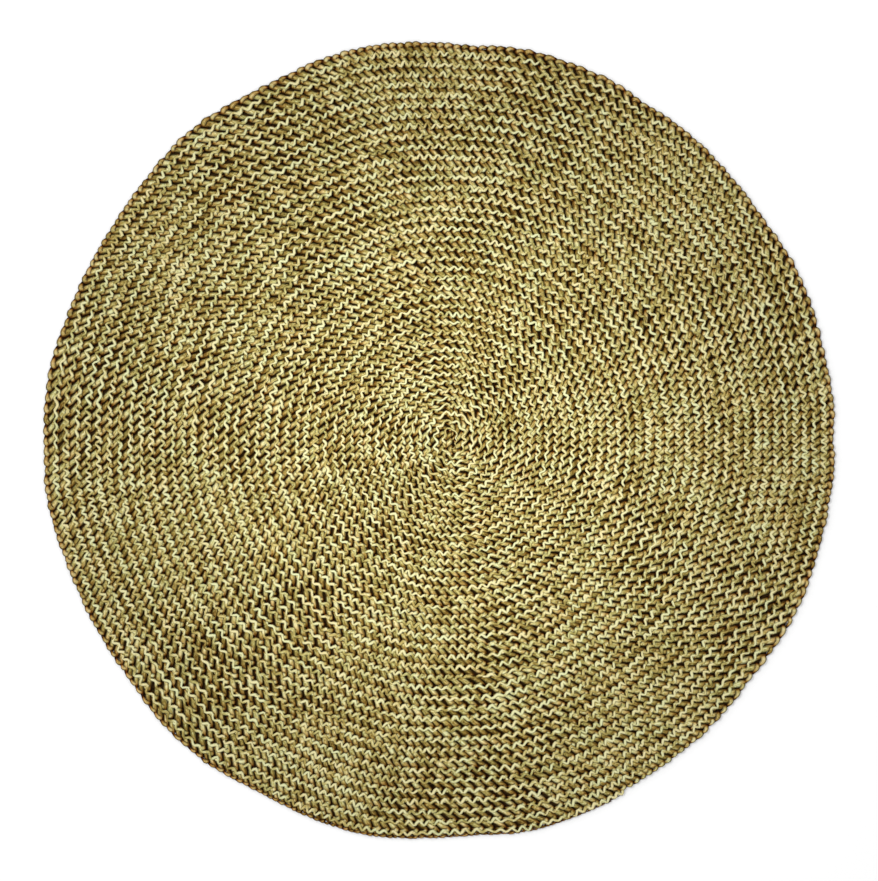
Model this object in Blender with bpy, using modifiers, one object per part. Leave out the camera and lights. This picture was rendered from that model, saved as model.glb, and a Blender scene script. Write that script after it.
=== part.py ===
"""Round grass rug: one long three-strand grass plait, wound on itself from the
middle outwards and sewn row to row into a flat round mat.

The whole plait is one body. It is drawn here as a flat disc of the rug's real
thickness, whose rim reaches as far as the outermost row of the plait does. The
rug was wound by hand, so the rim swells and draws in a little on its way round,
and the start of the winding lies a little to one side of the middle.

Units are metres, +Z is up. The origin is under the middle of the rug, on the
face that lies on the floor.
"""

import math

import bmesh
import bpy

# ---- driving dimensions -----------------------------------------------------

RUG_THICKNESS = 0.012
RIM_ROUNDING = 0.0045
RIM_ROUNDING_STEPS = 3
RIM_POINTS = 180

# The reach of the rug from the start of the winding, at each crest and hollow
# of its rim. Bearings are in degrees from +X towards +Y, and the other half of
# the rug, from 180 back to 360 degrees, has the same crests and hollows.
RIM_STATIONS = (
    {"bearing": 0, "reach": 0.873},
    {"bearing": 5, "reach": 0.878},
    {"bearing": 12, "reach": 0.875},
    {"bearing": 25, "reach": 0.881},
    {"bearing": 37, "reach": 0.874},
    {"bearing": 52, "reach": 0.885},
    {"bearing": 59, "reach": 0.887},
    {"bearing": 67, "reach": 0.901},
    {"bearing": 79, "reach": 0.908},
    {"bearing": 86, "reach": 0.901},
    {"bearing": 104, "reach": 0.919},
    {"bearing": 118, "reach": 0.912},
    {"bearing": 130, "reach": 0.922},
    {"bearing": 146, "reach": 0.911},
    {"bearing": 157, "reach": 0.914},
    {"bearing": 173, "reach": 0.928},
    {"bearing": 180, "reach": 0.924},
)

# ---- finish -----------------------------------------------------------------

GRASS_COLOUR = (0.30, 0.25, 0.09, 1.0)
GRASS_ROUGHNESS = 0.75
SMOOTH_ANGLE = math.radians(40)

RUG_NAME = "round_grass_rug"
PLAIT_NAME = "coiled_plait"


def clear_scene():
    """Removes every object that the file opened with."""
    for old_object in list(bpy.data.objects):
        bpy.data.objects.remove(old_object, do_unlink=True)


def make_collection(name):
    """Gives the rug a collection of its own."""
    collection = bpy.data.collections.new(name)
    bpy.context.scene.collection.children.link(collection)
    return collection


def grass_material():
    """Dry, dull plaited grass."""
    material = bpy.data.materials.new("dry_grass")
    material.use_nodes = True
    shader = material.node_tree.nodes["Principled BSDF"]
    shader.inputs["Base Color"].default_value = GRASS_COLOUR
    shader.inputs["Roughness"].default_value = GRASS_ROUGHNESS
    shader.inputs["Metallic"].default_value = 0.0
    return material


def rim_reach(bearing):
    """Reach of the rim at a bearing in degrees, eased from station to station."""
    half_turn_bearing = abs((bearing + 180) % 360 - 180)
    for near, far in zip(RIM_STATIONS, RIM_STATIONS[1:]):
        if half_turn_bearing <= far["bearing"]:
            break
    share = (half_turn_bearing - near["bearing"]) / (far["bearing"] - near["bearing"])
    eased = share * share * (3 - 2 * share)
    return near["reach"] + (far["reach"] - near["reach"]) * eased


def shape_rim(disc):
    """Moves the points of a round disc out to the rug's uneven rim."""
    for vert in disc.verts:
        if vert.co.length < 0.5:
            continue
        bearing = math.atan2(vert.co.y, vert.co.x)
        reach = rim_reach(math.degrees(bearing))
        vert.co.x = reach * math.cos(bearing)
        vert.co.y = reach * math.sin(bearing)


def centre_on_origin(disc):
    """Slides the disc so that the middle of its box stands over the origin."""
    across = [vert.co.x for vert in disc.verts]
    middle = (min(across) + max(across)) / 2
    bmesh.ops.translate(disc, verts=disc.verts, vec=(-middle, 0, 0))


def thicken(disc):
    """Raises the disc from the floor to the rug's thickness."""
    raised = bmesh.ops.extrude_face_region(disc, geom=disc.faces[:])["geom"]
    raised_verts = [part for part in raised if isinstance(part, bmesh.types.BMVert)]
    bmesh.ops.translate(disc, verts=raised_verts, vec=(0, 0, RUG_THICKNESS))
    bmesh.ops.recalc_face_normals(disc, faces=disc.faces)


def coiled_plait_mesh():
    """The flat mat, as a disc with the rug's outline."""
    disc = bmesh.new()
    bmesh.ops.create_circle(disc, cap_ends=True, cap_tris=True, segments=RIM_POINTS, radius=1.0)
    shape_rim(disc)
    centre_on_origin(disc)
    thicken(disc)
    mesh = bpy.data.meshes.new(PLAIT_NAME)
    disc.to_mesh(mesh)
    disc.free()
    return mesh


def add_coiled_plait(collection):
    """The one piece of the rug, with its rim rounded like the edge of the plait."""
    mesh = coiled_plait_mesh()
    plait = bpy.data.objects.new(PLAIT_NAME, mesh)
    collection.objects.link(plait)
    mesh.materials.append(grass_material())
    mesh.shade_smooth()
    mesh.set_sharp_from_angle(angle=SMOOTH_ANGLE)
    rounding = plait.modifiers.new("rim_rounding", "BEVEL")
    rounding.width = RIM_ROUNDING
    rounding.segments = RIM_ROUNDING_STEPS
    rounding.limit_method = "ANGLE"
    rounding.angle_limit = SMOOTH_ANGLE
    return plait


def main():
    clear_scene()
    collection = make_collection(RUG_NAME)
    add_coiled_plait(collection)


main()
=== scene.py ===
# %% [markdown]
# # A round rug of plaited grass
#
# The real rug is one very long three-strand plait of dry grass. It starts near
# the middle, winds outwards like the groove of a record, and each row is sewn to
# the one before it. This lesson builds it the same way: three strands are laid
# over and under each other, and the whole plait is carried round the winding.
#
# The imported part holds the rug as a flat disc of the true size. It is loaded
# first, because everything below takes its size and its outline from it.

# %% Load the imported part
import math

import bmesh
import bpy
import numpy as np
from mathutils import Matrix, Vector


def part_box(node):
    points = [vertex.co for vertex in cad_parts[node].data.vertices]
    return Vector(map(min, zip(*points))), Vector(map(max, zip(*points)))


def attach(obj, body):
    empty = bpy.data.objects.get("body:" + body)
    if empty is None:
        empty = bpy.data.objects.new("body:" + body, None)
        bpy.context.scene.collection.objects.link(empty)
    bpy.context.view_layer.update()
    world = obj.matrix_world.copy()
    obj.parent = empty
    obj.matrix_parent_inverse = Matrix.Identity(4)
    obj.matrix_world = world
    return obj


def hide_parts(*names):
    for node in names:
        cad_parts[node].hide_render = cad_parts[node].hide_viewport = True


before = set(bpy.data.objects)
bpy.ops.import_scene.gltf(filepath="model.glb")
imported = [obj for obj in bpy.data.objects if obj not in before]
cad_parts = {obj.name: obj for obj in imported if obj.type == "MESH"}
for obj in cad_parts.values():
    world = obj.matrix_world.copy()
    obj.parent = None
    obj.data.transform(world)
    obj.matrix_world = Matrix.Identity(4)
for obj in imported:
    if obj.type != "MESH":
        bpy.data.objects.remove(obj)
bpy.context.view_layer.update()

coil_node = "coiled_plait"
lowest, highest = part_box(coil_node)
rug_thickness = highest[2] - lowest[2]
print("rug box", lowest, highest)

# %% [markdown]
# ## The camera
#
# A rug is usually shown lying flat and seen from straight above. A long lens
# from high up does that with almost no perspective, so the rows keep the same
# width from the middle to the rim.

# %% Camera
view_across = 2.0087
far_limit = 50
camera_data = bpy.data.cameras.new("camera")
camera_data.lens = 85
camera_data.sensor_width = 36
camera_data.clip_end = far_limit
camera_height = view_across * camera_data.lens / camera_data.sensor_width
camera = bpy.data.objects.new("camera", camera_data)
camera.location = (0.0, 0.0, camera_height)
bpy.context.scene.collection.objects.link(camera)
bpy.context.scene.camera = camera
print("camera", round(camera_height, 2), "m above the floor")

# %% [markdown]
# ## The floor
#
# The rug lies on a plain pale floor. One large flat face does for it.

# %% Floor
floor_half_side = 6.0
floor_mesh = bpy.data.meshes.new("floor")
floor_shape = bmesh.new()
bmesh.ops.create_grid(floor_shape, x_segments=1, y_segments=1, size=floor_half_side)
floor_shape.to_mesh(floor_mesh)
floor_shape.free()
floor = bpy.data.objects.new("floor", floor_mesh)
floor_paint = bpy.data.materials.new("floor_paint")
floor_paint.use_nodes = True
floor_shader = floor_paint.node_tree.nodes["Principled BSDF"]
floor_shader.inputs["Base Color"].default_value = (0.9, 0.9, 0.9, 1)
floor_shader.inputs["Roughness"].default_value = 0.9
floor_mesh.materials.append(floor_paint)
bpy.context.scene.collection.objects.link(floor)
print("floor", 2 * floor_half_side, "m a side")

# %% [markdown]
# ## Light
#
# Soft light from all round keeps the colours of the grass true, but on its own
# it would leave the plait flat. One broad lamp from the upper left gives each
# strand a bright and a dark side, and that is what makes the plait readable.

# %% Light
sky_strength = 0.9
key_place = (-1.4, 0.9, 4.0)
key_size = 1.5
key_watts = 68
world = bpy.data.worlds.new("studio")
world.use_nodes = True
sky = world.node_tree.nodes["Background"]
sky.inputs["Color"].default_value = (1, 1, 1, 1)
sky.inputs["Strength"].default_value = sky_strength
bpy.context.scene.world = world
bpy.context.scene.view_settings.view_transform = "Standard"


def add_lamp(name, place, size, watts):
    """A square soft lamp that points at the middle of the rug."""
    lamp_data = bpy.data.lights.new(name, "AREA")
    lamp_data.size = size
    lamp_data.energy = watts
    lamp = bpy.data.objects.new(name, lamp_data)
    lamp.location = place
    lamp.rotation_euler = lamp.location.to_track_quat("Z", "Y").to_euler()
    bpy.context.scene.collection.objects.link(lamp)


add_lamp("key", key_place, key_size, key_watts)
print("key lamp", key_watts, "W, sky strength", sky_strength)

# %% [markdown]
# ## The rim and the start of the winding
#
# A rug that is wound by hand is never quite round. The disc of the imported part
# has the true rim. Its points half way up the side wall tell how far the rim
# reaches from the start of the winding, at every bearing.

# %% Reach of the rim
start_of_winding = np.array([0.0295, 0.0])
wall_share = 0.2
wall = np.array([v.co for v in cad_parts[coil_node].data.vertices])
wall = wall[np.abs(wall[:, 2] - rug_thickness / 2) < wall_share * rug_thickness]
wall_from_start = wall[:, :2] - start_of_winding
wall_bearing = np.arctan2(wall_from_start[:, 1], wall_from_start[:, 0])
wall_reach = np.hypot(wall_from_start[:, 0], wall_from_start[:, 1])
wall_order = np.argsort(wall_bearing)


def rim_reach(bearing):
    """Distance from the start of the winding to the rim, at bearings in radians."""
    return np.interp(bearing, wall_bearing[wall_order], wall_reach[wall_order], period=2 * np.pi)


every_degree = np.linspace(0, 2 * np.pi, 360, endpoint=False)
mean_reach = float(rim_reach(every_degree).mean())
print("rim points", len(wall), "mean reach", round(mean_reach, 4), "m")

# %% [markdown]
# ## Rows of the winding
#
# The plait was pulled tighter near the middle, so its rows are narrower there.
# A short table says how wide a row is at some distances from the start.
# Counting rows outwards through that table turns a number of turns into a
# distance.

# %% Row widths
row_table = (
    {"reach": 0.00, "width": 0.0186, "pitch": 0.0180},
    {"reach": 0.14, "width": 0.0190, "pitch": 0.0184},
    {"reach": 0.27, "width": 0.0202, "pitch": 0.0190},
    {"reach": 0.41, "width": 0.0226, "pitch": 0.0198},
    {"reach": 0.60, "width": 0.0234, "pitch": 0.0200},
    {"reach": 0.82, "width": 0.0230, "pitch": 0.0202},
    {"reach": 0.92, "width": 0.0232, "pitch": 0.0212},
)


def from_row_table(column, reach):
    """Value of a column of the row table at distances from the start."""
    return np.interp(reach, [r["reach"] for r in row_table], [r[column] for r in row_table])


past_the_rim = 1.05
fine_steps = 4000
count_steps = np.linspace(0, past_the_rim * mean_reach, fine_steps)
rows_in_step = np.diff(count_steps) / from_row_table("width", count_steps[1:])
rows_passed = np.concatenate([[0], np.cumsum(rows_in_step)])
rows_to_rim = float(np.interp(mean_reach, count_steps, rows_passed))


def reach_of_row(rows):
    """Distance from the start after some rows of a perfectly round winding."""
    return np.interp(rows, rows_passed, count_steps)


print("rows from the start to the rim", round(rows_to_rim, 1))

# %% [markdown]
# ## The path of the plait
#
# The path is a spiral. The maker starts with a thin end, lays the first few
# centimetres straight and folds the plait back along them, so a short slit marks
# the start and the first turns are longer than they are wide. Further out the
# turns are round, and they take on the lumps of the rim more and more. The
# strands are thinned again over the last quarter turn, so that the end lies
# against the row before it without a step. First the turns are counted, with the
# share of its full width that the plait has at each step.

# %% Turns of the winding
steps_per_turn = 720
first_turn = -0.3
share_at_turn_zero = 0.5
end_bearing = math.radians(297)
tail_turns = 0.28
tail_least = 0.25
rows_to_spare = 0.6
last_turn = math.floor(rows_to_rim - rows_to_spare) + end_bearing / (2 * math.pi)

turns = np.arange(first_turn, last_turn, 1 / steps_per_turn)
turn_bearing = 2 * np.pi * turns


def tail_width(before_end):
    """Share of the full width that the plait has some turns before its end."""
    return np.clip(tail_least + (1 - tail_least) * before_end / tail_turns, tail_least, 1)


tail_share = tail_width(last_turn - turns)
start_share = np.clip(turns + share_at_turn_zero, 0, 1)
full_share = tail_share * start_share
print("turns", round(first_turn, 2), "to", round(last_turn, 2))

# %% [markdown]
# ## From turns to places
#
# A count of rows gives a round winding. To reach a lumpy rim, each turn is
# stretched by the share that the rim stands off a circle at that bearing, a
# little in the middle and in full at the last row. The width of the plait is
# then read from the table, and the direction square to the path says which way
# is outwards.

# %% Path of the winding
fold_reach = 0.58
lump_power = 1.3
half_slit = 0.014
slit_fades = 9.0
slit_squareness = 2.5
before_end = ((end_bearing - turn_bearing) / (2 * np.pi)) % 1
end_share = tail_width(before_end)
outermost_row = last_turn - before_end - (1 - end_share) / 2 + fold_reach * end_share
row_middle = turns - (1 - tail_share) / 2 + (1 - start_share) / 2
round_reach = reach_of_row(row_middle)
rim_share = round_reach / reach_of_row(outermost_row)
lump = rim_reach(turn_bearing) / reach_of_row(outermost_row) - 1
path_reach = round_reach * (1 + np.maximum(rim_share, 0) ** lump_power * lump)
lengthening = half_slit * np.exp(-np.maximum(turns, 0) / slit_fades)
path_x = start_of_winding[0] + path_reach * np.cos(turn_bearing)
path_y = start_of_winding[1] + path_reach * np.sin(turn_bearing)
path_y = path_y + lengthening * np.tanh(slit_squareness * np.sin(turn_bearing))
step_x, step_y = np.gradient(path_x), np.gradient(path_y)
step_length = np.hypot(step_x, step_y)
out_x, out_y = step_y / step_length, -step_x / step_length
path_width = from_row_table("width", path_reach) * full_share
print("length of plait", round(float(step_length.sum()), 1), "m")

# %% [markdown]
# ## Pitch of the plait
#
# Each pitch adds one fold of a strand to each edge of the plait. Where two rows
# are sewn together the folds of one slip into the notches of the other, so the
# pitch gives way a little: the count of pitches in a turn lingers near the
# values where the rows interlock, and hurries past the others. Over the first
# turn there is no row to interlock with, so the give grows from nothing.

# %% Count of pitches along the path
thin_pitch_share = 0.4
interlock = 0.85
interlock_at = 0.18
pitch_share = thin_pitch_share + (1 - thin_pitch_share) * full_share
pitch_now = from_row_table("pitch", path_reach) * pitch_share
free_count = np.cumsum(step_length / pitch_now)
pitch_count = free_count.copy()
for begin in range(steps_per_turn, len(turns), steps_per_turn):
    here = slice(begin, min(begin + steps_per_turn, len(turns)))
    behind = slice(here.start - steps_per_turn, here.stop - steps_per_turn)
    in_this_turn = free_count[here] - free_count[behind]
    give = interlock * np.sin(2 * np.pi * (in_this_turn - interlock_at)) / (2 * np.pi)
    give = give * np.clip(turns[here] - turns[steps_per_turn], 0, 1)
    pitch_count[here] = pitch_count[behind] + in_this_turn - give
print("pitches", int(pitch_count[-1]), "least step", round(float(np.diff(pitch_count).min()), 4))

# %% [markdown]
# ## Straight blanks
#
# A strand is a loose bundle of blades, wider than it is thick. It could be
# modelled bend by bend along its path, but the same few faces would then be made
# thousands of times. Instead one short straight tube is extruded from a circle,
# long enough for a single fold of a strand. The winding comes afterwards, when
# every point of a long straight blank is carried to its place on the rug.

# %% Short blank
def short_blank(sides, rings, length):
    """A straight open tube along X with a few dozen faces and an edge on top."""
    blank = bmesh.new()
    upright = Matrix.Rotation(math.pi / 2, 4, "Y") @ Matrix.Rotation(math.pi / 2, 4, "Z")
    bmesh.ops.create_circle(blank, segments=sides, radius=1.0, matrix=upright)
    leading_edges = blank.edges[:]
    for _ in range(rings):
        grown = bmesh.ops.extrude_edge_only(blank, edges=leading_edges)["geom"]
        leading_edges = [part for part in grown if isinstance(part, bmesh.types.BMEdge)]
        moved = [part for part in grown if isinstance(part, bmesh.types.BMVert)]
        bmesh.ops.translate(blank, verts=moved, vec=(length / rings, 0, 0))
    mesh = bpy.data.meshes.new("short_blank")
    blank.to_mesh(mesh)
    blank.free()
    print("short blank of", len(mesh.polygons), "faces")
    return mesh


# %% [markdown]
# ## Long blanks
#
# Two Array modifiers make the long blank: one repeats the short one end to end
# and joins the copies, the other sets the strands side by side. Both ends of
# each tube are then closed, so the finished strand is a closed skin. The strands
# are set far apart, and that tells them from each other later.

# %% Long blank
side_by_side = 10.0
join_within = 0.0001


def repeat_along(carrier, count, step):
    """An Array modifier that sets copies at a constant step and joins their ends."""
    repeat = carrier.modifiers.new("repeat", "ARRAY")
    repeat.count = count
    repeat.use_relative_offset = False
    repeat.use_constant_offset = True
    repeat.constant_offset_displace = step
    repeat.use_merge_vertices = True
    repeat.merge_threshold = join_within


def long_blank(name, short, length, repeats, abreast):
    """Straight closed tubes, each made of many short blanks."""
    carrier = bpy.data.objects.new("long_blank", short)
    bpy.context.scene.collection.objects.link(carrier)
    repeat_along(carrier, repeats, (length, 0, 0))
    repeat_along(carrier, abreast, (0, side_by_side, 0))
    bpy.context.view_layer.update()
    carried = carrier.evaluated_get(bpy.context.evaluated_depsgraph_get())
    mesh = bpy.data.meshes.new_from_object(carried)
    mesh.name = name
    bpy.data.objects.remove(carrier)
    tubes = bmesh.new()
    tubes.from_mesh(mesh)
    open_edges = [edge for edge in tubes.edges if edge.is_boundary]
    bmesh.ops.holes_fill(tubes, edges=open_edges, sides=0)
    bmesh.ops.recalc_face_normals(tubes, faces=tubes.faces)
    tubes.to_mesh(mesh)
    tubes.free()
    return mesh


def points_of(mesh):
    """All vertex places of a mesh, one row each."""
    places = np.empty(len(mesh.vertices) * 3)
    mesh.vertices.foreach_get("co", places)
    return places.reshape(-1, 3)


# %% [markdown]
# ## Unevenness
#
# Grass is fed into the strands by hand, so nothing is quite regular. One helper
# makes every slow change: random values at even spacing, with a smooth way from
# one to the next. A table lists what is uneven: by how much, how often it
# changes (counted in pitches or folds) and from which seed. The seeds are fixed,
# so the rug is the same at each run.

# %% Slow change along a strand
strands = 3
well_before_start = 50


def slow_change(place, spacing, seed):
    """Smooth values from -1 to 1 that change every so often along a length."""
    steps = np.asarray(place) / spacing + well_before_start
    knots = np.random.default_rng(seed).uniform(-1, 1, int(steps.max()) + 3)
    knot = np.floor(steps).astype(int)
    share = steps - knot
    eased = share * share * (3 - 2 * share)
    return knots[knot] * (1 - eased) + knots[knot + 1] * eased


def each_its_own(strand, place, spacing, first_seed):
    """Slow change that differs from strand to strand."""
    return np.choose(strand, [slow_change(place, spacing, first_seed + s) for s in range(strands)])


unevenness = {
    "plait_drift": {"by": 0.0006, "every": 9, "seed": 1},
    "strand_stray": {"by": 0.0018, "every": 1.1, "seed": 2},
    "strand_heave": {"by": 0.0008, "every": 1.7, "seed": 6},
    "strand_plumpness": {"by": 0.22, "every": 1.3, "seed": 10},
    "strand_tone": {"by": 0.5, "every": 1.0, "seed": 20},
    "strand_hue": {"by": 0.5, "every": 1.0, "seed": 24},
    "strand_run": {"by": 0.5, "every": 17.0, "seed": 30},
    "strand_hurry": {"by": 0.11, "every": 0.9, "seed": 40},
    "lacing_hurry": {"by": 0.08, "every": 0.8, "seed": 60},
    "lacing_reach": {"by": 0.5, "every": 1.1, "seed": 61},
    "lacing_wander": {"by": 0.055, "every": 1.9, "seed": 62},
    "lacing_heave": {"by": 0.0012, "every": 0.6, "seed": 63},
    "lacing_plumpness": {"by": 0.22, "every": 0.9, "seed": 64},
    "lacing_tone": {"by": 0.5, "every": 0.6, "seed": 70},
    "lacing_hue": {"by": 0.5, "every": 1.3, "seed": 71},
    "lacing_run": {"by": 0.5, "every": 19, "seed": 72},
}


def uneven(kind, place, strand=None):
    """One kind of unevenness along a length, the same for all strands or for each its own."""
    row = unevenness[kind]
    if strand is None:
        return row["by"] * slow_change(place, row["every"], row["seed"])
    return row["by"] * each_its_own(strand, place, row["every"], row["seed"])


print("kinds of unevenness", len(unevenness))

# %% [markdown]
# ## Carrying a blank round the winding
#
# Every point of a straight blank says how far along its strand it is and on
# which side of it. The strand's direction there gives the two axes of its
# section: one level, one leaning with the strand as it climbs and dives.

# %% Places on the winding
level_fullness = 0.85
upright_fullness = 0.8
floor_gap = 0.0002
look_ahead = 0.01


def place_on_path(pitches, across, height):
    """Points on the winding, from pitches along it and metres across the row."""
    here = np.interp(pitches, pitch_count, turns)
    x = np.interp(here, turns, path_x) + across * np.interp(here, turns, out_x)
    y = np.interp(here, turns, path_y) + across * np.interp(here, turns, out_y)
    return np.stack([x, y, height], axis=1)


def filled(part, power):
    """Pushes one side of the round section of the blank outwards."""
    return np.sign(part) * np.abs(part) ** power


def sweep(mesh, straight, middle_at, half_width, half_height):
    """Carries a blank along a middle line that middle_at gives some steps ahead."""
    along = middle_at(look_ahead) - middle_at(-look_ahead)
    along /= np.linalg.norm(along, axis=1)[:, None]
    side = np.cross((0, 0, 1), along)
    side /= np.linalg.norm(side, axis=1)[:, None]
    up = np.cross(along, side)
    tube_middle = side_by_side * np.round(straight[:, 1] / side_by_side)
    level = filled(straight[:, 1] - tube_middle, level_fullness) * half_width
    upright = filled(straight[:, 2], upright_fullness) * half_height
    swept = middle_at(0.0) + side * level[:, None] + up * upright[:, None]
    swept[:, 2] = np.maximum(swept[:, 2], floor_gap)
    mesh.vertices.foreach_set("co", swept.ravel())
    mesh.update()


print("the path ends at", place_on_path(pitch_count[-1:], 0.0, np.zeros(1)).round(3))

# %% [markdown]
# ## Over and under
#
# In a flat plait each strand swings from edge to edge and back once a round. On
# its way from an edge to the middle it lies over the others, and from the middle
# to the other edge it lies under them. So its place across the row is a cosine
# of its phase, and its height is a sine of twice that phase, squeezed so that
# the strand lies flat and then dives fast. Three strands follow each other a
# third of a round apart. First comes what they share: how the phase runs on
# along the plait, and what differs between the inward and the outward leg. The
# uneven numbers here and in the cells on the strand and its lacing weren't
# guessed: a search tried many sets on one stretch of rows and kept what came
# closest to the real plait.

# %% Phase of a strand
crowding = 0.793
first_pitch = 2.0
inwards_leg = {"half_width": 0.29, "lean": 28}
outwards_leg = {"half_width": 0.348, "lean": -24}


def strand_phase(rounds):
    """Phase of a strand, with its points crowded where it lies on top."""
    evenly = 2 * np.pi * rounds
    return evenly + crowding / 2 * np.cos(2 * evenly)


def on_leg(phase, column):
    """Value for the leg that a strand is on, blended between the two legs."""
    inwards = 0.5 + 0.5 * np.sin(phase)
    return outwards_leg[column] * (1 - inwards) + inwards_leg[column] * inwards


def strand_state(rounds, strand):
    """Phase, pitches, row width and fullness of a strand, some rounds along."""
    phase = strand_phase(rounds)
    pitches = first_pitch - strand + strands * phase / (2 * np.pi)
    pitches = pitches + uneven("strand_hurry", pitches, strand)
    width = np.interp(pitches, pitch_count, path_width)
    fullness = np.interp(pitches, pitch_count, full_share)
    return phase, pitches, width, fullness


rounds_in_all = int((pitch_count[-1] - first_pitch) / strands)
print("rounds of each strand", rounds_in_all)

# %% [markdown]
# ## The middle line of a strand
#
# Across the row the strand swings almost to both edges and lingers there a little. In height it climbs
# over the others and dives under them. Near its outer fold it stands a little higher, so that the outer
# edge of a row is paler, as it lies above the painted shade that darkens low grass. Small strays and
# heaves make every fold a little different.

# %% Path of a strand
swing_share = 0.402
swing_roundness = 1.07
inward_bias = 0.022
snaking = 0.011
height_of_middle = 0.0048
rise = 0.00432
dive = 2.19
dive_offset = -0.302
outer_lift = 0.0025
outer_lift_at = math.radians(-30)


def fold_nearness(phase, fold_at=0.0):
    """How near a strand is to its outer fold, from 0 to 1."""
    return np.clip(np.cos(phase - fold_at), 0, 1) ** 2


def strand_middle(rounds, strand):
    """Middle of a strand, some rounds along the plait."""
    phase, pitches, width, fullness = strand_state(rounds, strand)
    reach = np.tanh(swing_roundness * np.cos(phase)) / math.tanh(swing_roundness)
    swing = swing_share * (1 - inward_bias * np.cos(phase)) * reach
    swing = swing + snaking * np.sin(2 * phase)
    stray = uneven("plait_drift", pitches) + uneven("strand_stray", pitches, strand)
    across = width * swing + stray * fullness
    lean = np.radians(on_leg(phase, "lean"))
    lift = rise * np.tanh(dive * (np.sin(2 * phase + lean) + dive_offset))
    heave = uneven("strand_heave", pitches, strand)
    held_up = outer_lift * fold_nearness(phase, outer_lift_at)
    return place_on_path(pitches, across, height_of_middle + (lift + heave + held_up) * fullness)


def line_length(points):
    """Length of a line through points, in metres."""
    return float(np.linalg.norm(np.diff(points, axis=0), axis=1).sum())


strand_steps = np.arange(0, rounds_in_all, look_ahead)
strand_line = strand_middle(strand_steps, np.zeros(len(strand_steps), dtype=int))
print("length of one strand", round(line_length(strand_line), 1), "m")

# %% [markdown]
# ## The body of a strand
#
# Strands are drawn tight and narrow where they fold at an edge, and they spread
# out in between. At the rim no next row presses on the folds, so they are
# plumper there. The helper also returns what the finish needs to know later:
# which strand a point belongs to, its phase, its pitch and how much of a rim
# fold it is.

# %% Winding of the strands
half_height = 0.0017
fold_half_width = 0.118
rim_fold_extra = 0.08
rim_row_grows = 8
widest_at = math.radians(77)
rim_row = np.clip(rim_row_grows * (turns - last_turn + 1), 0, 1)


def wind_strands(mesh, straight, first_round):
    """Carries the strands to their place and returns where each point belongs."""
    strand = np.round(straight[:, 1] / side_by_side).astype(int)
    rounds = straight[:, 0] + first_round
    phase, pitches, width, fullness = strand_state(rounds, strand)
    spread = 0.5 - 0.5 * np.cos(2 * (phase - widest_at + np.pi / 2))
    plump = 1 + uneven("strand_plumpness", pitches, strand)
    rim_fold = np.interp(pitches, pitch_count, rim_row) * fold_nearness(phase)
    share = fold_half_width + (on_leg(phase, "half_width") - fold_half_width) * spread
    share = share + rim_fold_extra * rim_fold
    sweep(
        mesh,
        straight,
        lambda step: strand_middle(rounds + step, strand),
        share * width * plump,
        half_height * fullness * plump,
    )
    return strand, phase, pitches, rim_fold


print("half width at a fold", fold_half_width, "of a row, at the rim", fold_half_width + rim_fold_extra)

# %% [markdown]
# ## The lacing
#
# Each row is laced to the one inside it. A pale cord of split grass runs over
# the seam in a zigzag, one turn to each fold of the plait, and shows up as a
# bright wave between the rows. It follows the count of pitches, so its turns
# always sit over the folds.

# %% Path of the lacing
seam_at = 0.5
lacing_swing = 0.2
lacing_shift = -0.003
lacing_phase = 0.318
lacing_half_width = 0.146
lacing_half_height = 0.0016
lacing_height = 0.01017
lacing_dip = 0.0005
lacing_dip_ahead = 0.1
lacing_tightening = 0.075
lacing_end = float(np.interp(last_turn - 1, turns, pitch_count))


def lacing_wave(pitches, ahead=0.0):
    """Where the zigzag stands, from -1 at its inner turn to 1 at its outer turn."""
    hurry = uneven("lacing_hurry", pitches)
    return np.cos(2 * np.pi * (pitches + hurry + lacing_phase + ahead))


def lacing_middle(pitches):
    """Middle of the lacing, some pitches along the plait."""
    width = np.interp(pitches, pitch_count, path_width)
    swing = lacing_swing * (1 + uneven("lacing_reach", pitches))
    wander = uneven("lacing_wander", pitches)
    across = width * (seam_at + lacing_shift + wander + swing * lacing_wave(pitches))
    height = lacing_height - lacing_dip * lacing_wave(pitches, lacing_dip_ahead)
    return place_on_path(pitches, across, height + uneven("lacing_heave", pitches))


def wind_lacing(mesh, straight, begin):
    """Carries a blank to its place over the seam and returns its pitches."""
    pitches = straight[:, 0] + begin
    width = np.interp(pitches, pitch_count, path_width)
    plump = 1 + uneven("lacing_plumpness", pitches)
    tight = 1 - lacing_tightening * lacing_wave(pitches)
    sweep(
        mesh,
        straight,
        lambda step: lacing_middle(pitches + step),
        lacing_half_width * width * plump * tight,
        np.full(len(straight), lacing_half_height),
    )
    return pitches


lacing_line = lacing_middle(np.arange(0, lacing_end, look_ahead))
seam_length = float(step_length[turns < last_turn - 1].sum())
print("lacing", round(line_length(lacing_line), 1), "m over", round(seam_length, 1), "m of seam")

# %% [markdown]
# ## Maps along the strands
#
# Patterns that follow a strand need to know how far along it and how far round
# it they are. The straight blank knows both. A second map cuts the same strands
# into strips and stacks them in a square, without overlap, which suits a picture
# of the finish. The small end caps get a row of their own above the strips.

# %% Maps of a wound piece
strip_margin = 0.04
cap_size = 0.3
at_the_end = 0.0001


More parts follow.
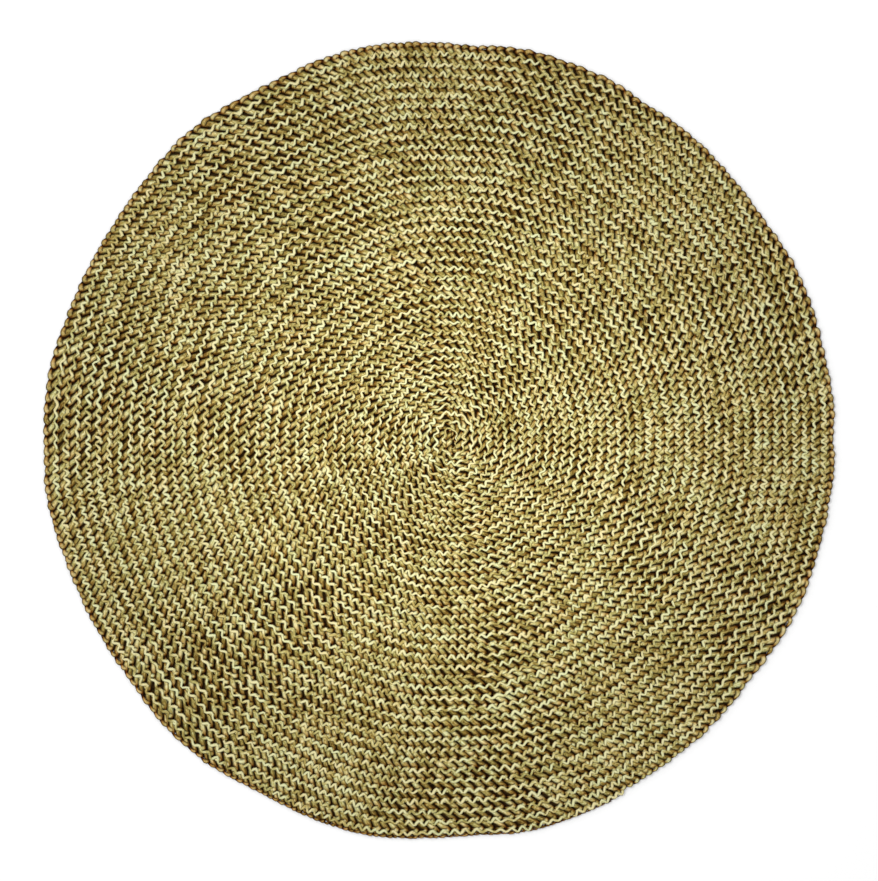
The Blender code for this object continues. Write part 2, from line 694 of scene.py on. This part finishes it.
def map_strands(mesh, straight, abreast, strip_length):
    """Adds the map along the strands and the map of stacked strips."""
    corner_point = np.empty(len(mesh.loops), dtype=np.int64)
    mesh.loops.foreach_get("vertex_index", corner_point)
    face_size = np.empty(len(mesh.polygons), dtype=np.int64)
    mesh.polygons.foreach_get("loop_total", face_size)
    face = np.repeat(np.arange(len(face_size)), face_size)
    corner = straight[corner_point]
    strand = np.round(corner[:, 1] / side_by_side)
    corner[:, 1] -= side_by_side * strand
    centre = np.stack([np.bincount(face, corner[:, k]) / face_size for k in range(3)], axis=1)[face]
    centre_angle = np.arctan2(-centre[:, 1], -centre[:, 2])
    angle = np.arctan2(-corner[:, 1], -corner[:, 2]) - centre_angle
    angle = (angle + np.pi) % (2 * np.pi) - np.pi
    around = (centre_angle % (2 * np.pi) + angle) / (2 * np.pi)
    whole_length = straight[:, 0].max()
    strips_each = math.ceil(whole_length / strip_length)
    strips = abreast * strips_each + 1
    strip = np.floor(centre[:, 0] / strip_length)
    across = corner[:, 0] / strip_length - strip
    height = strand * strips_each + strip + strip_margin + (1 - 2 * strip_margin) * around
    near_end = np.minimum(centre[:, 0], whole_length - centre[:, 0])
    is_cap = near_end < at_the_end
    cap_number = strand + abreast * (centre[:, 0] > 0.5 * whole_length)
    cap_across = (cap_number + 0.5 + cap_size * corner[:, 1]) / (2 * abreast)
    cap_height = strips - 0.5 + cap_size * corner[:, 2]
    across = np.where(is_cap, cap_across, across)
    height = np.where(is_cap, cap_height, height) / strips
    along_map = np.stack([corner[:, 0], around], axis=1)
    strip_map = np.stack([across, height], axis=1)
    for name, places in (("Strand", along_map), ("OFBake", strip_map)):
        mesh.uv_layers.new(name=name).data.foreach_set("uv", places.astype(np.float32).ravel())


# %% [markdown]
# ## Notes on the points
#
# The finish has to know a few things of each point of a strand: which tone its
# fold has, how near it is to the rim, and so on. Only the winding knows them, so
# they are kept as numbers on the points of the mesh, where nodes can read them.

# %% Notes and pieces
def note(mesh, name, values):
    """Keeps one number for each vertex under a plain name."""
    numbers = mesh.attributes.new(name, "FLOAT", "POINT").data
    numbers.foreach_set("value", values.astype(np.float32))


def as_share(change):
    """Turns values from -0.5 to 0.5 into shares from 0 to 1."""
    return 0.5 + change


def show(mesh):
    """Puts a finished mesh into the scene as a piece of the same name."""
    mesh.shade_smooth()
    piece = bpy.data.objects.new(mesh.name, mesh)
    bpy.context.scene.collection.objects.link(piece)
    print(piece.name, "triangles", sum(len(p.vertices) - 2 for p in mesh.polygons))
    return piece


# %% [markdown]
# ## The plait
#
# More than a hundred metres of plait in one mesh would be heavy to work with, so
# it is made in five pieces that follow on from each other. Each short blank has
# thirty faces and stands for half a round of a strand. A tone and a hue are
# noted for each fold, and a slow run that lasts many folds.

# %% Wound strands
folds_per_round = 2
plait_pieces = 5
strand_strip = 19
lobe_start = np.pi / 4
hue_shift = 0.3
fold_blank = short_blank(sides=6, rings=5, length=1 / folds_per_round)
piece_ends = np.linspace(0, rounds_in_all, plait_pieces + 1).round().astype(int)
plait = []
for number, (begin, end) in enumerate(zip(piece_ends, piece_ends[1:]), start=1):
    repeats = folds_per_round * int(end - begin)
    mesh = long_blank(f"plait_{number}", fold_blank, 1 / folds_per_round, repeats, strands)
    straight = points_of(mesh)
    strand, phase, pitches, rim_fold = wind_strands(mesh, straight, begin)
    map_strands(mesh, straight, strands, strand_strip)
    lobe = (phase + lobe_start) / np.pi
    note(mesh, "tone", as_share(uneven("strand_tone", lobe, strand)))
    note(mesh, "hue", as_share(uneven("strand_hue", lobe + hue_shift, strand)))
    note(mesh, "run", as_share(uneven("strand_run", lobe, strand)))
    # Painted light: the tone uses this to paint the outer fold paler, as a highlight, and the inner
    # fold darker, as shade under the lacing.
    note(mesh, "outer_side", as_share(0.5 * np.cos(phase)))
    note(mesh, "rim_share", np.interp(pitches, pitch_count, rim_share))
    note(mesh, "rim_fold", rim_fold)
    plait.append(show(mesh))

# %% [markdown]
# ## The cord of the lacing
#
# The lacing is made in the same way from one tube with four sides, in two
# pieces. It swings out and back once to each pitch, so its short blank is a
# whole pitch long. The notes for its finish are the same, but for the rim fold,
# since the last row isn't laced.

# %% Wound lacing
lacing_pieces = 2
lacing_strip = 57
lace_blank = short_blank(sides=4, rings=6, length=1)
lacing_ends = np.linspace(0, int(lacing_end), lacing_pieces + 1).round().astype(int)
lacing = []
for number, (begin, end) in enumerate(zip(lacing_ends, lacing_ends[1:]), start=1):
    mesh = long_blank(f"lacing_{number}", lace_blank, 1, int(end - begin), 1)
    straight = points_of(mesh)
    pitches = wind_lacing(mesh, straight, begin)
    map_strands(mesh, straight, 1, lacing_strip)
    note(mesh, "tone", as_share(uneven("lacing_tone", pitches)))
    note(mesh, "hue", as_share(uneven("lacing_hue", pitches)))
    note(mesh, "run", as_share(uneven("lacing_run", pitches)))
    note(mesh, "outer_side", as_share(0.5 * lacing_wave(pitches, lacing_dip_ahead)))
    note(mesh, "rim_share", np.interp(pitches, pitch_count, rim_share))
    lacing.append(show(mesh))

# %% [markdown]
# ## The sheet of painted shade
#
# Deep in the gaps between the strands there is only shade. A thin closed disc of almost black stands
# for it, as painted shade. It also keeps the floor from shining through the gaps.

# %% Painted shade sheet
core_inset = 0.007
core_height = 0.0010
core_thickness = 0.0015
core_sides = 180
core_shape = bmesh.new()
bmesh.ops.create_circle(core_shape, cap_ends=True, cap_tris=True, segments=core_sides, radius=1.0)
for vert in core_shape.verts:
    share = round(vert.co.length)
    bearing = math.atan2(vert.co.y, vert.co.x)
    reach = share * (float(rim_reach(bearing)) - core_inset)
    vert.co.x = start_of_winding[0] + reach * math.cos(bearing)
    vert.co.y = start_of_winding[1] + reach * math.sin(bearing)
core_area = sum(face.calc_area() for face in core_shape.faces)
core_top = bmesh.ops.extrude_face_region(core_shape, geom=core_shape.faces[:])["geom"]
core_top = [part for part in core_top if isinstance(part, bmesh.types.BMVert)]
bmesh.ops.translate(core_shape, verts=core_top, vec=(0, 0, core_thickness))
bmesh.ops.translate(core_shape, verts=core_shape.verts, vec=(0, 0, core_height))
bmesh.ops.recalc_face_normals(core_shape, faces=core_shape.faces)
core_mesh = bpy.data.meshes.new("painted_shade_sheet")
core_shape.to_mesh(core_mesh)
core_shape.free()
# This sheet is painted shade: its dark colour shows at the bottom of the gaps.
painted_shade_sheet = bpy.data.objects.new("painted_shade_sheet", core_mesh)
bpy.context.scene.collection.objects.link(painted_shade_sheet)
print("matted core", round(core_area, 3), "square metres")

# %% [markdown]
# ## The grass finish
#
# Dry grass runs from dark brown through olive and tan to pale straw. A painted picture could hold that,
# but nodes keep it sharp at any size.
# A few helpers come first, so that each part of the finish reads as one line.

# %% Node helpers
def add_node(tree, kind, inputs=None, **settings):
    """A node with its settings made and its inputs filled or linked."""
    node = tree.nodes.new(kind)
    for name, value in settings.items():
        setattr(node, name, value)
    for name, value in (inputs or {}).items():
        if isinstance(value, bpy.types.NodeSocket):
            tree.links.new(value, node.inputs[name])
        else:
            node.inputs[name].default_value = value
    return node


def calculate(tree, operation, first, second=0.0, third=0.0):
    """Output of a Math node."""
    values = {0: first, 1: second, 2: third}
    return add_node(tree, "ShaderNodeMath", values, operation=operation).outputs["Value"]


def stretch_range(tree, value, from_low, from_high, to_low, to_high):
    """Output of a Map Range node with a soft start and end."""
    ends = {
        "Value": value,
        "From Min": from_low,
        "From Max": from_high,
        "To Min": to_low,
        "To Max": to_high,
    }
    node = add_node(tree, "ShaderNodeMapRange", ends, interpolation_type="SMOOTHSTEP")
    return node.outputs["Result"]


def mix_colours(tree, share, first, second, blend="MIX"):
    """Output of a colour mix."""
    settings = {"data_type": "RGBA", "blend_type": blend}
    node = add_node(tree, "ShaderNodeMix", {0: share, 6: first, 7: second}, **settings)
    return node.outputs[2]


def kept(tree, name):
    """Number that a piece keeps at each vertex."""
    return add_node(tree, "ShaderNodeAttribute", attribute_name=name).outputs["Fac"]


def noise(tree, vector, scale, detail=2.0, roughness=0.5):
    """Value of a noise pattern."""
    inputs = {"Vector": vector, "Scale": scale, "Detail": detail, "Roughness": roughness}
    return add_node(tree, "ShaderNodeTexNoise", inputs).outputs["Fac"]


# %% [markdown]
# ## What picks a tone
#
# A ramp holds the tones of the grass from dark to pale. What picks a tone is a sum: a level, and around
# it a value for each fold, slow runs along a strand, the outer side against the inner, fine streaks
# along the blades and broad patches across the rug. Each has an amount of its own. On the strands the
# outer side against the inner is painted light: the outer fold is painted paler, as a highlight, and
# the inner fold darker, as shade under the lacing.

# %% Tone of the grass
grass_tones = (
    (0.05, (0.16, 0.088, 0.017)),
    (0.35, (0.385, 0.290, 0.075)),
    (0.65, (0.68, 0.585, 0.22)),
    (0.95, (0.97, 0.92, 0.53)),
)
patches_per_metre = 9.0


def fill_ramp(ramp, tones):
    """Sets the stops of a colour ramp."""
    stops = ramp.color_ramp.elements
    stops[0].position = tones[0][0]
    stops[0].color = (*tones[0][1], 1)
    stops[1].position = tones[-1][0]
    stops[1].color = (*tones[-1][1], 1)
    for place, colour in tones[1:-1]:
        stops.new(place).color = (*colour, 1)


def grass_tone(tree, position, streak, amounts):
    """Colour from the ramp, picked by all that sways the tone."""
    swayed_by = {
        "tone": kept(tree, "tone"),
        "run": kept(tree, "run"),
        "outer_side": kept(tree, "outer_side"),
        "streak": streak,
        "patch": noise(tree, position, patches_per_metre, detail=3.0, roughness=0.6),
    }
    tone = amounts["level"]
    for source, output in swayed_by.items():
        centred = calculate(tree, "SUBTRACT", output, 0.5)
        tone = calculate(tree, "MULTIPLY_ADD", centred, amounts[source], tone)
    ramp = add_node(tree, "ShaderNodeValToRGB", {"Fac": tone})
    fill_ramp(ramp, grass_tones)
    return ramp.outputs["Color"]


print("tones in the ramp", len(grass_tones))

# %% [markdown]
# ## Green and tan
#
# Some blades were cut greener than others. The drift between a greenish and a
# tan tint has a value for each fold and a slow noise across the rug, and it
# multiplies the tone.

# %% Tint of the grass
greenish = (0.935, 1.015, 1.0, 1)
tannish = (1.035, 0.96, 0.88, 1)
tint_drifts_per_metre = 14.0
tint_drift = 0.55
tint_balance = -0.27


def tinted(tree, position, colour):
    """Colour multiplied by a tint that drifts from greenish to tan."""
    drift = noise(tree, position, tint_drifts_per_metre)
    hue = calculate(tree, "MULTIPLY_ADD", drift, tint_drift, tint_balance)
    hue = calculate(tree, "ADD", kept(tree, "hue"), hue)
    tint = mix_colours(tree, hue, greenish, tannish)
    return mix_colours(tree, 1.0, colour, tint, "MULTIPLY")


print("tints from", greenish[:3], "to", tannish[:3])

# %% [markdown]
# ## Painted shade in the gaps
#
# Shade is painted into the grass low down between the strands and along their sides, and the grass is
# also made darker towards the rim. The painted shade is warm, as light that finds its way into a gap
# comes back warm, so blue fades first, then green, and red last. Each colour therefore has its own
# range of heights.

# %% Shade of the grass
gap_tints = {
    "Red": {"lift": 0.0, "darkest": 0.03},
    "Green": {"lift": 0.0006, "darkest": 0.012},
    "Blue": {"lift": 0.0012, "darkest": 0.002},
}
rim_darkens_from = 0.2
rim_darkness = 0.70
rim_fold_brown = (0.72, 0.50, 0.34, 1)


def gap_shade(tree, position, strand_map, gap, sides):
    """Painted shade by height in the gap and on the sides of the strand, times a darkening towards the
    rim.
    """
    height = add_node(tree, "ShaderNodeSeparateXYZ", {"Vector": position}).outputs["Z"]
    around = add_node(tree, "ShaderNodeSeparateXYZ", {"Vector": strand_map}).outputs["Y"]
    off_top = calculate(tree, "ABSOLUTE", calculate(tree, "SUBTRACT", around, 0.5))
    # Painted shade on the sides of the strand, where they turn down into the gaps.
    side_shade = stretch_range(tree, off_top, sides["from"], sides["to"], 1.0, sides["shade"])
    # The grass is made darker towards the rim.
    rim_share_kept = kept(tree, "rim_share")
    rim_darkening = stretch_range(tree, rim_share_kept, rim_darkens_from, 1.0, 1.0, rim_darkness)
    common = calculate(tree, "MULTIPLY", rim_darkening, side_shade)
    shades = {}
    for channel, tint in gap_tints.items():
        low = gap["low"] + tint["lift"]
        high = gap["high"] + tint["lift"]
        # Painted shade: the lower the grass lies in a gap, the darker it is, and red fades last.
        shade = stretch_range(tree, height, low, high, tint["darkest"], 1.0)
        shades[channel] = calculate(tree, "MULTIPLY", shade, common)
    return add_node(tree, "ShaderNodeCombineColor", shades).outputs["Color"]


print("darkest shade", [tint["darkest"] for tint in gap_tints.values()])

# %% [markdown]
# ## The grass finish as a whole
#
# Tone, tint and shade are multiplied, and the folds at the rim are browned, as
# on the real rug. The same streaks that colour the blades also raise them a
# little, as bump. Strands and lacing share the recipe, but the lacing is paler
# and its streaks are coarser, so its amounts differ. Those for the outer side
# come from the search too.

# %% Grass materials
grass_roughness = 0.6
grass_shine = 0.1
grass_shine_tint = (1.0, 0.8, 0.45, 1)
streak_strength = 0.5
streak_depth = 0.0008


def grass_material(name, amounts, gap, streaks, sides):
    """A finish of dry grass for a piece with the map along its strands."""
    material = bpy.data.materials.new(name)
    material.use_nodes = True
    tree = material.node_tree
    shader = tree.nodes["Principled BSDF"]
    shader.inputs["Roughness"].default_value = grass_roughness
    shader.inputs["Specular IOR Level"].default_value = grass_shine
    shader.inputs["Specular Tint"].default_value = grass_shine_tint
    position = add_node(tree, "ShaderNodeTexCoord").outputs["Object"]
    strand_map = add_node(tree, "ShaderNodeUVMap", uv_map="Strand").outputs["UV"]
    along = add_node(tree, "ShaderNodeMapping", {"Vector": strand_map, "Scale": streaks})
    streak = noise(tree, along.outputs["Vector"], 1.0, detail=2.0, roughness=0.6)
    colour = tinted(tree, position, grass_tone(tree, position, streak, amounts))
    # Painted shade in the gaps and on the strand sides, with the darkening towards the rim.
    shade = gap_shade(tree, position, strand_map, gap, sides)
    colour = mix_colours(tree, 1.0, colour, shade, "MULTIPLY")
    browned = mix_colours(tree, 1.0, colour, rim_fold_brown, "MULTIPLY")
    colour = mix_colours(tree, kept(tree, "rim_fold"), colour, browned)
    tree.links.new(colour, shader.inputs["Base Color"])
    raised = {"Height": streak, "Strength": streak_strength, "Distance": streak_depth}
    bump = add_node(tree, "ShaderNodeBump", raised)
    tree.links.new(bump.outputs["Normal"], shader.inputs["Normal"])
    return material


plaited_grass = grass_material(
    "plaited_grass",
    amounts={
        "level": 0.63,
        "tone": 0.75,
        "run": 0.1,
        "outer_side": 0.293,
        "streak": 1.8,
        "patch": 0.2,
    },
    # Painted shade in the gaps and on the strand sides, for the strands.
    gap={"low": 0.0040, "high": 0.0092},
    streaks=(10.0, 13.0, 1.0),
    sides={"from": 0.03, "to": 0.17, "shade": 0.143},
)
lacing_straw = grass_material(
    "lacing_straw",
    amounts={
        "level": 0.80,
        "tone": 0.8,
        "run": 0.1,
        "outer_side": -0.237,
        "streak": 1.3,
        "patch": 0.15,
    },
    # Painted shade in the gaps and on the cord sides, for the lacing.
    gap={"low": 0.0, "high": 0.0075},
    streaks=(4.0, 7.0, 1.0),
    sides={"from": 0.12, "to": 0.28, "shade": 0.5},
)
for piece in plait:
    piece.data.materials.append(plaited_grass)
for piece in lacing:
    piece.data.materials.append(lacing_straw)
print("grass finish on", len(plait) + len(lacing), "pieces")

# %% [markdown]
# ## The finish of the shade sheet
#
# The sheet is painted shade, almost black, for the deep shade at the bottom of the gaps. One dark, dull
# brown is enough for it, since it only shows as the bottom of the gaps.

# %% Painted shade material
painted_shade_finish = bpy.data.materials.new("painted_shade_dark")
painted_shade_finish.use_nodes = True
dark_shader = painted_shade_finish.node_tree.nodes["Principled BSDF"]
# Almost black: painted shade that shows at the bottom of the gaps.
dark_shader.inputs["Base Color"].default_value = (0.03, 0.014, 0.003, 1)
dark_shader.inputs["Roughness"].default_value = 0.9
dark_shader.inputs["Specular IOR Level"].default_value = 0.1
core_mesh.materials.append(painted_shade_finish)
print("core finish", painted_shade_finish.name)

# %% [markdown]
# ## Handing the pieces over
#
# Every piece lies on the one body of the part. The flat disc of the imported part is hidden, and the
# strands, the lacing and the sheet of painted shade take its place.

# %% Hand over
for piece in (*plait, *lacing, painted_shade_sheet):
    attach(piece, "root")
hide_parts(coil_node)
